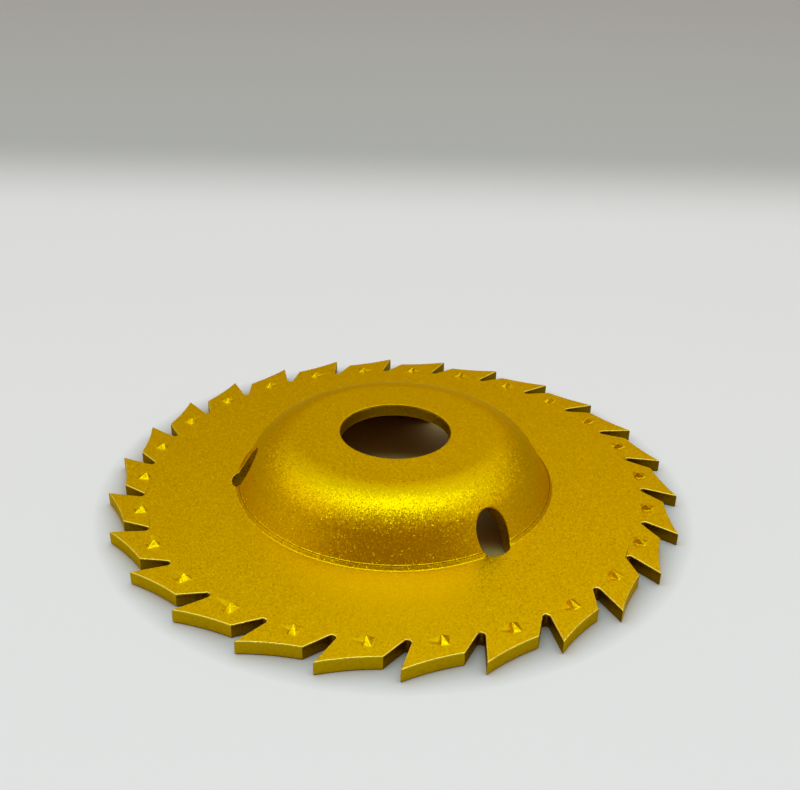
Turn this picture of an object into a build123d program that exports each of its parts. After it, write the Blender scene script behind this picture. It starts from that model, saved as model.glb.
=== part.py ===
from build123d import *
from math import cos, radians, sin, tan
import os

# Wood carving disc for an angle grinder: one pressed sheet of steel with a toothed rim,
# a raised dome round the arbor bore, three holes at the dome's foot and one punched
# barb behind each tooth. Millimetres, +Z up. The origin is on the bore's axis, in the
# plane that the flat flange rests on. Seen from above, the teeth point clockwise.

# Blank
disc_diameter = 115.0
sheet_thickness = 2.7
bore_diameter = 22.23
bore_edge_bevel = 0.2

# Dome, with heights taken above the flange's upper face
crown_rise = 10.85
wall_slope = 60.0
shoulder_radius = 10.95
foot_ring_radius = 32.3
foot_strip_height = 0.75
foot_strip_slope = 57.0
foot_ledge_width = 0.16
foot_corner_radius = 0.4
foot_underside_bevel = 1.0
crown_underside_bevel = 2.6

# Teeth, in the frame of each tip: depth is measured inward from the tip circle and
# back is measured against the cutting direction, which is counterclockwise
tooth_count = 26
first_tip_azimuth = 91.8
hook_angle = 16.9
heel_depth = 3.03
heel_wall_angle = 41.8
notch_mouth = 2.65
gullet_radius = 0.65
tooth_back_hollow = 0.35

# Holes at the dome's foot, punched in the flat at not quite even spacing and drawn out
# with the dome
foot_hole_azimuths = (-52.3, 66.5, 185.0)
foot_hole_width = 7.1
foot_hole_rise = 7.1
foot_hole_overrun = 0.9

# Punched barb behind each tip, in the same frame as the teeth: a three-cornered pit and
# the raised barb that ends it
barb_depth = 6.9
barb_start = 3.6
barb_pit_length = 3.0
barb_pit_width = 2.8
barb_pit_drop = 0.45
barb_width = 2.3
barb_length = 1.5
barb_rise = 1.15
barb_peak_shift = 0.4
barb_lean = 0.12

tip_radius = disc_diameter / 2
bore_radius = bore_diameter / 2
pitch_angle = 360 / tooth_count
flange_top = sheet_thickness
crown_top = flange_top + crown_rise
foot_ledge = flange_top + foot_strip_height
strip_radius = foot_ring_radius - foot_strip_height / tan(radians(foot_strip_slope))
ledge_radius = strip_radius - foot_ledge_width
foot_bevel_top = foot_underside_bevel * sin(radians(wall_slope))
crown_bevel_foot = crown_rise - crown_underside_bevel * sin(radians(wall_slope))


def wall_radius(height):
    """Radius of the dome's outer wall line at a height above the resting plane."""
    return ledge_radius + (foot_ledge - height) / tan(radians(wall_slope))


def inner_wall_radius(height):
    """Radius of the hollow's wall line, one sheet thickness inside the outer one."""
    return wall_radius(height) - sheet_thickness / sin(radians(wall_slope))


def behind_tip(depth, back, tooth):
    """Point at a depth and a distance back from a tooth's tip."""
    azimuth = first_tip_azimuth + tooth * pitch_angle
    return Vector(tip_radius - depth, back).rotate(Axis.Z, azimuth)


def foot_hole_ends(depth):
    """Lower and upper end of a foot hole, at a depth below the sheet's outer face."""
    top = flange_top + foot_hole_rise
    low = Vector(foot_ring_radius + foot_hole_overrun, 0, flange_top - depth)
    inward = Vector(-sin(radians(wall_slope)), 0, -cos(radians(wall_slope)))
    high = Vector(wall_radius(top), 0, top) + inward * depth
    return low, high


# Toothed outline: each back is a shallow hollow arc from the tip to the heel, and each
# notch is two straight walls that meet in a small round gullet
notch_rake = tan(radians(hook_angle))
notch_wall = tan(radians(heel_wall_angle))
notch_depth = (notch_mouth + heel_depth * notch_wall) / (notch_wall - notch_rake)

with BuildSketch() as blank_outline:
    with BuildLine():
        for tooth in range(tooth_count):
            tip = behind_tip(0, 0, tooth)
            heel = behind_tip(heel_depth, -notch_mouth, tooth + 1)
            notch_root = behind_tip(notch_depth, notch_depth * notch_rake, tooth + 1)
            next_tip = behind_tip(0, 0, tooth + 1)
            SagittaArc(tip, heel, tooth_back_hollow)
            FilletPolyline(heel, notch_root, next_tip, radius=gullet_radius)
    make_face()

# One foot hole, drawn as a fan so that its ends stand square to the sheet
with BuildPart() as foot_hole:
    for depth in (-sheet_thickness, 2 * sheet_thickness):
        low, high = foot_hole_ends(depth)
        along = (high - low).normalized()
        across = Vector(0, 1, 0)
        section_plane = Plane((low + high) / 2, x_dir=along, z_dir=along.cross(across))
        with BuildSketch(section_plane):
            Ellipse((high - low).length / 2, foot_hole_width / 2)
    loft()

# One barb: a pit driven down from its front, and the steel raised behind it
barb_radius = tip_radius - barb_depth
pit_back = barb_start + barb_pit_length
pit_front = (barb_radius, barb_start)
pit_inner = (barb_radius - barb_pit_width / 2, pit_back)
pit_outer = (barb_radius + barb_pit_width / 2, pit_back)
pit_floor = Vertex(barb_radius, pit_back - barb_lean, flange_top - barb_pit_drop)
barb_peak = Vertex(barb_radius - barb_peak_shift, pit_back + barb_lean, flange_top + barb_rise)

with BuildPart() as punched_pit:
    with BuildSketch(Plane.XY.offset(flange_top)) as pit_mouth:
        with BuildLine():
            Polyline(pit_front, pit_inner, pit_outer, close=True)
        make_face()
    loft(sections=[pit_mouth.sketch.face(), pit_floor])

with BuildPart() as raised_barb:
    with BuildSketch(Plane.XY.offset(flange_top)) as barb_root:
        with Locations((barb_radius, pit_back)):
            Rectangle(barb_width, barb_length, align=(Align.CENTER, Align.MIN))
    loft(sections=[barb_root.sketch.face(), barb_peak])

# The disc: pressed section, toothed outline, bore, foot holes and barbs
with BuildPart() as carving_disc:
    with BuildSketch(Plane.XZ) as pressed_section:
        with BuildLine():
            section = FilletPolyline(
                (0, crown_top),
                (wall_radius(crown_top), crown_top),
                (ledge_radius, foot_ledge),
                (strip_radius, foot_ledge),
                (foot_ring_radius, flange_top),
                (disc_diameter, flange_top),
                (disc_diameter, 0),
                (inner_wall_radius(0) + foot_underside_bevel, 0),
                (inner_wall_radius(foot_bevel_top), foot_bevel_top),
                (inner_wall_radius(crown_bevel_foot), crown_bevel_foot),
                (inner_wall_radius(crown_rise) - crown_underside_bevel, crown_rise),
                (0, crown_rise),
                radius=(shoulder_radius, 0, 0, foot_corner_radius, 0, 0, 0, 0, 0, 0),
            )
            Line(section @ 1, section @ 0)
        make_face()
    revolve(axis=Axis.Z)
    extrude(blank_outline.sketch, amount=crown_top, mode=Mode.INTERSECT)

    with Locations((0, 0, crown_top)):
        Hole(bore_radius)
    bore_rims = carving_disc.edges(Select.LAST).filter_by(GeomType.CIRCLE)
    chamfer(bore_rims, bore_edge_bevel)

    for azimuth in foot_hole_azimuths:
        with PolarLocations(0, 1, start_angle=azimuth):
            add(foot_hole.part, mode=Mode.SUBTRACT)
    with PolarLocations(0, tooth_count, start_angle=first_tip_azimuth):
        add(punched_pit.part, mode=Mode.SUBTRACT)
        add(raised_barb.part)

carving_disc.part.label = "carving_disc"

os.makedirs("parts", exist_ok=True)
export_step(carving_disc.part, "parts/carving_disc.step")
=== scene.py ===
import math

import bmesh
import bpy
from mathutils import Matrix, Vector, kdtree


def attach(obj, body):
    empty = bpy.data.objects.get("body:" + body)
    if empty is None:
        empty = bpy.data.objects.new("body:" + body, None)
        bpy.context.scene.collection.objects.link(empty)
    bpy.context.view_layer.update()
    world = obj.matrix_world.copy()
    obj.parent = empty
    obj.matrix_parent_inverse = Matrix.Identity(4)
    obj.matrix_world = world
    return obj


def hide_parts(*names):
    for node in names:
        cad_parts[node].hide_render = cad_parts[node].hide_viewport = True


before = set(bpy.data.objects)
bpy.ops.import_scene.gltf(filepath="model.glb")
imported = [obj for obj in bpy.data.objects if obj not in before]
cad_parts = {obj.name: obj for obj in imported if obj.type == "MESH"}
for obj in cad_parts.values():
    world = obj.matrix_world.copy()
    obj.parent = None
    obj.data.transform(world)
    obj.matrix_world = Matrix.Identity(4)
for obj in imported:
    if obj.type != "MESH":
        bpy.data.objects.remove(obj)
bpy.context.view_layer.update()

# Lengths are in metres
MM = 0.001

# The disc's sheet, and how thick paint softens the edges of its solid
SHEET = 2.7 * MM
WELD = 0.001 * MM
FLAT_JOIN = math.radians(0.5)
SHARP_EDGE = math.radians(25)
EDGE_ROUNDING = 0.20 * MM
ROUNDING_SEGMENTS = 2
ROUND_PROFILE = 0.5
FLAT_FACE_WEIGHT = 80

# How the upper rims and the gullets' walls are told from other faces: by their distance from
# the rim or the axis, and by how much of the face's normal points up or outward
RIM_REACH = 0.22 * MM
GULLET_FROM = 40 * MM
BACKS_FROM = 52 * MM
BACK_FACING = 0.75
UPRIGHT_BELOW = 0.05
LEVEL_ABOVE = 0.99

# Gold paint, in linear colours: its grain runs from deep to bright, a paler colour along the upper
# rims is a painted highlight, a dark colour in the gullets and on the lower edges is painted shade,
# and the last colour tints it at grazing angles
PAINT_DEEP = (0.70, 0.420, 0.0)
PAINT_BRIGHT = (0.83, 0.525, 0.0)
PAINT_RIM_HIGHLIGHT = (0.90, 0.66, 0.08)
PAINT_GULLET_SHADE = (0.30, 0.155, 0.0)
PAINT_GRAZING = (1.0, 0.85, 0.30)
PAINT_ROUGHNESS = 0.38

# Metal flakes in the paint: their size, the middle of their random colours, and how far they
# tilt where the face is level and where it is steep, by how much of the normal points up
FLAKE = 0.19 * MM
FLAKE_COLOUR_MIDDLE = (0.5, 0.5, 0.5)
FLAKE_TILT_LEVEL = 0.55
FLAKE_TILT_STEEP = 1.00
LEVEL_NORMAL = 1.00
STEEP_NORMAL = 0.85

# Fine grain and orange peel on the paint
GRAIN = 0.28 * MM
GRAIN_DETAIL = 2.0
GRAIN_STRENGTH = 0.12
PEEL = 1.1 * MM
PEEL_DETAIL = 1.0
PEEL_STRENGTH = 0.35
BUMP_HEIGHT = 0.02 * MM

# Floor and backdrop tones, and how far behind the disc the floor gives way to the backdrop
FLOOR_TONE = (0.890, 0.825, 0.900)
# The shaded tone is a painted shadow on the floor under the disc, seen through its bore and holes
FLOOR_SHADED = (0.43, 0.31, 0.11)
BACKDROP_TONE = (0.487, 0.470, 0.492)
FLOOR_END = 245 * MM
FLOOR_BLUR = 120 * MM
FLOOR_REACH = 3.0
FLOOR_ROUGHNESS = 0.6

# The floor's tone by the distance from the disc's axis, a painted shadow under and round the disc
FLOOR_BY_REACH = (
    (0 * MM, FLOOR_SHADED),
    (40 * MM, FLOOR_SHADED),
    (50 * MM, (0.36, 0.33, 0.34)),
    (56 * MM, (0.60, 0.56, 0.60)),
    (60.5 * MM, FLOOR_TONE),
)

# The tone with which the floor lights the disc: a painted shade near the axis, open further out
BOUNCE_SHADED = (0.36, 0.27, 0.11)
BOUNCE_OPEN = (0.50, 0.50, 0.50)
SHADED_WITHIN = 49 * MM
OPEN_BEYOND = 58 * MM

# The surrounding light: its linear colour by the elevation in degrees
SKY = (
    (0, (0.56, 0.50, 0.44)),
    (12, (0.52, 0.45, 0.39)),
    (26, (0.42, 0.32, 0.26)),
    (32, (0.54, 0.43, 0.36)),
    (37, (1.18, 1.13, 1.07)),
    (43, (1.12, 1.12, 1.10)),
    (53, (0.72, 0.79, 0.80)),
    (72, (0.55, 0.70, 0.67)),
    (90, (0.55, 0.70, 0.66)),
)

# What dims, warms or lifts that light, by the angle in degrees from a direction that rises
# towards the camera's side
VIEWER_ELEVATION = math.radians(30)
VIEWER_SHADE = (
    (0, (0.47, 0.30, 0.175)),
    (36, (0.47, 0.30, 0.175)),
    (53, (1.08, 1.00, 0.92)),
    (72, (1.45, 1.48, 1.50)),
    (90, (1.05, 1.05, 1.05)),
    (108, (0.90, 0.87, 0.85)),
    (120, (0.66, 0.55, 0.47)),
    (135, (0.75, 0.62, 0.52)),
    (150, (1.15, 1.00, 0.88)),
)

# How strong it is from the left (-1) to the right (1)
LEFT = -1.0
RIGHT = 1.0
SIDES = (
    (LEFT, 1.03),
    (-0.5, 0.97),
    (-0.15, 0.92),
    (0.05, 1.04),
    (0.2, 1.16),
    (0.42, 1.02),
    (0.62, 0.76),
    (0.8, 0.94),
    (RIGHT, 0.82),
)

# The softbox: its angle from the zenith towards the camera, its distance, the angles that it
# spans along and across the view, and its light
SOFTBOX_LEAN = math.radians(6)
SOFTBOX_DISTANCE = 1.2
SOFTBOX_ALONG = math.radians(22)
SOFTBOX_ACROSS = math.radians(56)
SOFTBOX_RADIANCE = 2.7
SOFTBOX_COLOUR = (0.66, 1.0, 0.92)

# The camera, as fitted to the photograph: it aims past the disc's middle, by these two
# distances in its own frame. The lens and the sensor are in millimetres
CAMERA_ELEVATION = math.radians(26.93)
CAMERA_ROLL = math.radians(1.30)
CAMERA_DISTANCE = 207.2 * MM
AIM_RIGHT = 1.16 * MM
AIM_UP = 16.76 * MM
LENS = 45.08
SENSOR = 36.0
CLIP_NEAR = 0.01
CLIP_FAR = 10.0


def add_object(name, data):
    """A new object in the scene, made from that data."""
    item = bpy.data.objects.new(name, data)
    bpy.context.scene.collection.objects.link(item)
    return item


def empty_tree(owner):
    """The node tree of a new material or world, with no nodes in it yet."""
    owner.use_nodes = True
    owner.node_tree.nodes.clear()
    return owner.node_tree


def feed(tree, socket, value):
    """Link a socket to another node's output, or set it to a number, a vector or a colour."""
    if isinstance(value, bpy.types.NodeSocket):
        tree.links.new(value, socket)
    elif socket.type == "RGBA":
        socket.default_value = (*value, 1.0)
    else:
        socket.default_value = value


def add_node(tree, kind, *values, **settings):
    """A node of that kind, with the settings made by name and the values fed in order.

    A setting is an input, with underscores for the spaces in its name, or else a property.
    """
    node = tree.nodes.new(kind)
    for name, value in settings.items():
        socket = node.inputs.get(name.replace("_", " "))
        if socket is None:
            setattr(node, name, value)
        else:
            feed(tree, socket, value)
    for socket, value in zip(node.inputs, values):
        feed(tree, socket, value)
    return node


def mix_colours(tree, share, first, second):
    """The output of a colour mix, from the first colour to the second."""
    mix = add_node(tree, "ShaderNodeMix", data_type="RGBA", Factor=share)
    ends = [socket for socket in mix.inputs if socket.type == "RGBA"]
    for end, colour in zip(ends, (first, second)):
        feed(tree, end, colour)
    return [socket for socket in mix.outputs if socket.type == "RGBA"][0]


def ramp_colours(tree, value, start, end, stops):
    """The colour that the stops give to a value between the start and the end."""
    share = add_node(tree, "ShaderNodeMapRange", Value=value, From_Min=start, From_Max=end)
    ramp = add_node(tree, "ShaderNodeValToRGB", Fac=share.outputs["Result"])
    elements = ramp.color_ramp.elements
    while len(elements) < len(stops):
        elements.new(1.0)
    for element, (place, colour) in zip(elements, stops):
        element.position = (place - start) / (end - start)
        element.color = (*colour, 1.0)
    return ramp.outputs["Color"]


def split_by_camera(tree, seen, unseen):
    """A shader that the camera sees, mixed with the one that lights the disc."""
    path = add_node(tree, "ShaderNodeLightPath")
    either = add_node(
        tree, "ShaderNodeMixShader", path.outputs["Is Camera Ray"], unseen, seen
    )
    return either.outputs["Shader"]


def make_camera():
    """The photograph's view: elevation, a slight roll, distance and aim."""
    sin_e = math.sin(CAMERA_ELEVATION)
    cos_e = math.cos(CAMERA_ELEVATION)
    forward = Vector((0, cos_e, -sin_e))
    level_right = Vector((1, 0, 0))
    level_up = Vector((0, sin_e, cos_e))
    right = math.cos(CAMERA_ROLL) * level_right + math.sin(CAMERA_ROLL) * level_up
    up = math.cos(CAMERA_ROLL) * level_up - math.sin(CAMERA_ROLL) * level_right
    place = Vector((0, 0, SHEET)) - forward * CAMERA_DISTANCE + right * AIM_RIGHT + up * AIM_UP
    data = bpy.data.cameras.new("camera")
    data.lens = LENS
    data.sensor_width = SENSOR
    data.clip_start = CLIP_NEAR
    data.clip_end = CLIP_FAR
    camera = add_object("camera", data)
    axes = Matrix((right, up, -forward)).transposed()
    camera.matrix_world = Matrix.Translation(place) @ axes.to_4x4()
    bpy.context.scene.camera = camera


def flake_normal(tree, place):
    """The surface's normal, tilted cell by cell as metal flakes lie in the paint.

    Most flakes lie nearly flat and a few lean far, and all lean more on the steep faces, where
    the spray lands drier.
    """
    cells = add_node(tree, "ShaderNodeTexVoronoi", feature="F1", Scale=1 / FLAKE, Vector=place)
    offset = add_node(
        tree, "ShaderNodeVectorMath", cells.outputs["Color"], FLAKE_COLOUR_MIDDLE,
        operation="SUBTRACT",
    ).outputs["Vector"]
    spread = add_node(tree, "ShaderNodeVectorMath", offset, offset, operation="DOT_PRODUCT")
    normal = add_node(tree, "ShaderNodeNewGeometry").outputs["Normal"]
    facing = add_node(tree, "ShaderNodeSeparateXYZ", Vector=normal)
    dryness = add_node(
        tree, "ShaderNodeMapRange", Value=facing.outputs["Z"],
        From_Min=LEVEL_NORMAL, From_Max=STEEP_NORMAL,
        To_Min=FLAKE_TILT_LEVEL, To_Max=FLAKE_TILT_STEEP,
    )
    lean = add_node(
        tree, "ShaderNodeMath", spread.outputs["Value"], dryness.outputs["Result"],
        operation="MULTIPLY",
    )
    tilt = add_node(
        tree, "ShaderNodeVectorMath", offset, operation="SCALE", Scale=lean.outputs["Value"]
    )
    tilted = add_node(tree, "ShaderNodeVectorMath", normal, tilt.outputs["Vector"], operation="ADD")
    unit = add_node(tree, "ShaderNodeVectorMath", tilted.outputs["Vector"], operation="NORMALIZE")
    return unit.outputs["Vector"]


def gold_paint():
    """Sprayed gold paint: tilted metal flakes in a finely grained coat with orange peel."""
    material = bpy.data.materials.new("gold_paint")
    tree = empty_tree(material)
    place = add_node(tree, "ShaderNodeTexCoord").outputs["Object"]
    peel = add_node(
        tree, "ShaderNodeTexNoise", Scale=1 / PEEL, Detail=PEEL_DETAIL, Vector=place
    ).outputs["Fac"]
    grain = add_node(
        tree, "ShaderNodeTexNoise", Scale=1 / GRAIN, Detail=GRAIN_DETAIL, Vector=place
    ).outputs["Fac"]

    normal = flake_normal(tree, place)
    for height, strength in ((peel, PEEL_STRENGTH), (grain, GRAIN_STRENGTH)):
        normal = add_node(
            tree, "ShaderNodeBump", Strength=strength, Distance=BUMP_HEIGHT, Height=height,
            Normal=normal,
        ).outputs["Normal"]

    colour = mix_colours(tree, grain, PAINT_DEEP, PAINT_BRIGHT)
    # Painted shade in the gullets and on the lower edges, and a painted highlight along the upper
    # rims
    for mark, tone in (("painted_shade", PAINT_GULLET_SHADE), ("rim", PAINT_RIM_HIGHLIGHT)):
        marked = add_node(tree, "ShaderNodeAttribute", attribute_name=mark)
        colour = mix_colours(tree, marked.outputs["Fac"], colour, tone)

    shader = add_node(
        tree, "ShaderNodeBsdfPrincipled", Metallic=1.0, Roughness=PAINT_ROUGHNESS,
        Specular_Tint=PAINT_GRAZING, Base_Color=colour, Normal=normal,
    )
    add_node(tree, "ShaderNodeOutputMaterial", Surface=shader.outputs["BSDF"])
    return material


def is_gullet_wall(face):
    """Whether a face is an upright wall between two teeth, and not a tooth's back."""
    middle = face.calc_center_median()
    outward = Vector((middle.x, middle.y, 0))
    upright = abs(face.normal.z) < UPRIGHT_BELOW and outward.length > GULLET_FROM
    return upright and (
        outward.length < BACKS_FROM or face.normal.dot(outward.normalized()) < BACK_FACING
    )


def is_upper_rim(edge):
    """Whether an edge lies between a level upper face and an upright wall."""
    rises = sorted(face.normal.z for face in edge.link_faces)
    return abs(rises[0]) < UPRIGHT_BELOW and rises[1] > LEVEL_ABOVE


def points_along(edges):
    """Points set closely along the edges, in a tree that finds the nearest one."""
    points = []
    for edge in edges:
        start, end = (vertex.co for vertex in edge.verts)
        steps = max(1, math.ceil((end - start).length / RIM_REACH))
        points += [start.lerp(end, step / steps) for step in range(steps + 1)]
    tree = kdtree.KDTree(len(points))
    for number, point in enumerate(points):
        tree.insert(point, number)
    tree.balance()
    return tree


def soften_edges(form):
    """Round the sharp edges, and mark where shade and a highlight are painted.

    The gullets' walls and the lower edges are marked for a painted shade, and the upper edges as
    rim, for a painted highlight.
    """
    painted_shade = form.faces.layers.float.new("painted_shade")
    rim = form.faces.layers.float.new("rim")
    for face in form.faces:
        face[painted_shade] = float(is_gullet_wall(face))
    sharp = [edge for edge in form.edges if edge.calc_face_angle() > SHARP_EDGE]
    rim_points = points_along([edge for edge in sharp if is_upper_rim(edge)])
    rounded = bmesh.ops.bevel(
        form, geom=sharp, offset=EDGE_ROUNDING, offset_type="OFFSET", segments=ROUNDING_SEGMENTS,
        profile=ROUND_PROFILE, affect="EDGES", clamp_overlap=False, loop_slide=True,
    )
    for face in rounded["faces"]:
        middle = face.calc_center_median()
        distance = rim_points.find(middle)[2]
        face[rim] = float(distance < RIM_REACH)
        # The rounded lower edges get the painted shade too, as a painted contact shadow
        if middle.z < EDGE_ROUNDING:
            face[painted_shade] = 1.0


def painted_disc(material):
    """The disc with the thick paint's softened edges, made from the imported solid's mesh."""
    mesh = bpy.data.objects["carving_disc"].data.copy()
    mesh.name = "painted_disc"
    form = bmesh.new()
    form.from_mesh(mesh)
    bmesh.ops.remove_doubles(form, verts=form.verts, dist=WELD)
    bmesh.ops.dissolve_limit(form, angle_limit=FLAT_JOIN, verts=form.verts, edges=form.edges)
    soften_edges(form)
    bmesh.ops.dissolve_degenerate(form, dist=WELD, edges=form.edges)
    for face in form.faces:
        face.smooth = True
        face.material_index = 0
    form.to_mesh(mesh)
    form.free()
    mesh.materials.clear()
    mesh.materials.append(material)
    disc = add_object("painted_disc", mesh)
    disc.modifiers.new("flat_faces_stay_flat", "WEIGHTED_NORMAL").weight = FLAT_FACE_WEIGHT
    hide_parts("carving_disc")
    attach(disc, "root")


def floor_material():
    """A pale floor, with painted shade under and round the disc, that turns into a greyer backdrop.
    """
    material = bpy.data.materials.new("floor")
    tree = empty_tree(material)
    place = add_node(tree, "ShaderNodeTexCoord").outputs["Object"]
    parts = add_node(tree, "ShaderNodeSeparateXYZ", Vector=place)
    reach = add_node(tree, "ShaderNodeVectorMath", place, operation="LENGTH").outputs["Value"]
    behind = add_node(
        tree, "ShaderNodeMapRange", interpolation_type="SMOOTHSTEP", Value=parts.outputs["Y"],
        From_Min=FLOOR_END - FLOOR_BLUR / 2, From_Max=FLOOR_END + FLOOR_BLUR / 2,
    )
    outside = add_node(
        tree, "ShaderNodeMapRange", interpolation_type="SMOOTHSTEP", Value=reach,
        From_Min=SHADED_WITHIN, From_Max=OPEN_BEYOND,
    )
    near = ramp_colours(tree, reach, 0, FLOOR_BY_REACH[-1][0], FLOOR_BY_REACH)
    tone = mix_colours(tree, behind.outputs["Result"], near, BACKDROP_TONE)
    bounce = mix_colours(tree, outside.outputs["Result"], BOUNCE_SHADED, BOUNCE_OPEN)
    seen = add_node(
        tree, "ShaderNodeBsdfPrincipled", Roughness=FLOOR_ROUGHNESS, Base_Color=tone
    )
    bounced = add_node(tree, "ShaderNodeBsdfDiffuse", Color=bounce)
    surface = split_by_camera(tree, seen.outputs["BSDF"], bounced.outputs["BSDF"])
    add_node(tree, "ShaderNodeOutputMaterial", Surface=surface)
    return material


def make_floor():
    """One flat square, on which the disc lies in the middle."""
    ends = ((-1, -1), (1, -1), (1, 1), (-1, 1))
    corners = [(x * FLOOR_REACH, y * FLOOR_REACH, 0) for x, y in ends]
    mesh = bpy.data.meshes.new("floor")
    mesh.from_pydata(corners, [], [(0, 1, 2, 3)])
    mesh.materials.append(floor_material())
    add_object("floor", mesh)


def light_the_world():
    """A soft surrounding light: brightest some 40 degrees up, dim and warm round the camera."""
    world = bpy.data.worlds.new("studio")
    bpy.context.scene.world = world
    tree = empty_tree(world)
    direction = add_node(tree, "ShaderNodeTexCoord").outputs["Generated"]
    parts = add_node(tree, "ShaderNodeSeparateXYZ", Vector=direction)
    heights = [(math.sin(math.radians(rise)), colour) for rise, colour in SKY]
    dome = ramp_colours(tree, parts.outputs["Z"], 0, 1, heights)

    viewer = (0, -math.cos(VIEWER_ELEVATION), math.sin(VIEWER_ELEVATION))
    towards = add_node(tree, "ShaderNodeVectorMath", direction, viewer, operation="DOT_PRODUCT")
    turn = add_node(tree, "ShaderNodeMath", towards.outputs["Value"], operation="ARCCOSINE")
    turns = [(math.radians(angle), colour) for angle, colour in VIEWER_SHADE]
    shade = ramp_colours(tree, turn.outputs["Value"], 0, math.pi, turns)
    shaded = add_node(tree, "ShaderNodeVectorMath", dome, shade, operation="MULTIPLY")

    levels = [(across, (level, level, level)) for across, level in SIDES]
    strength = ramp_colours(tree, parts.outputs["X"], LEFT, RIGHT, levels)
    sky = add_node(
        tree, "ShaderNodeBackground", Color=shaded.outputs["Vector"], Strength=strength
    )
    plain = add_node(tree, "ShaderNodeBackground", Color=BACKDROP_TONE, Strength=1.0)
    surface = split_by_camera(tree, plain.outputs["Background"], sky.outputs["Background"])
    add_node(tree, "ShaderNodeOutputWorld", Surface=surface)


def hang_softbox():
    """One broad soft lamp overhead, hung and tipped a little towards the camera."""
    data = bpy.data.lights.new("softbox", "AREA")
    data.shape = "RECTANGLE"
    data.size = 2 * SOFTBOX_DISTANCE * math.tan(SOFTBOX_ACROSS / 2)
    data.size_y = 2 * SOFTBOX_DISTANCE * math.tan(SOFTBOX_ALONG / 2)
    data.color = SOFTBOX_COLOUR
    data.energy = SOFTBOX_RADIANCE * math.pi * data.size * data.size_y
    softbox = add_object("softbox", data)
    softbox.location = (
        0, -SOFTBOX_DISTANCE * math.sin(SOFTBOX_LEAN), SOFTBOX_DISTANCE * math.cos(SOFTBOX_LEAN)
    )
    softbox.rotation_euler = (-SOFTBOX_LEAN, 0, 0)


make_camera()
painted_disc(gold_paint())
make_floor()
light_the_world()
hang_softbox()
bpy.context.scene.view_settings.view_transform = "Standard"
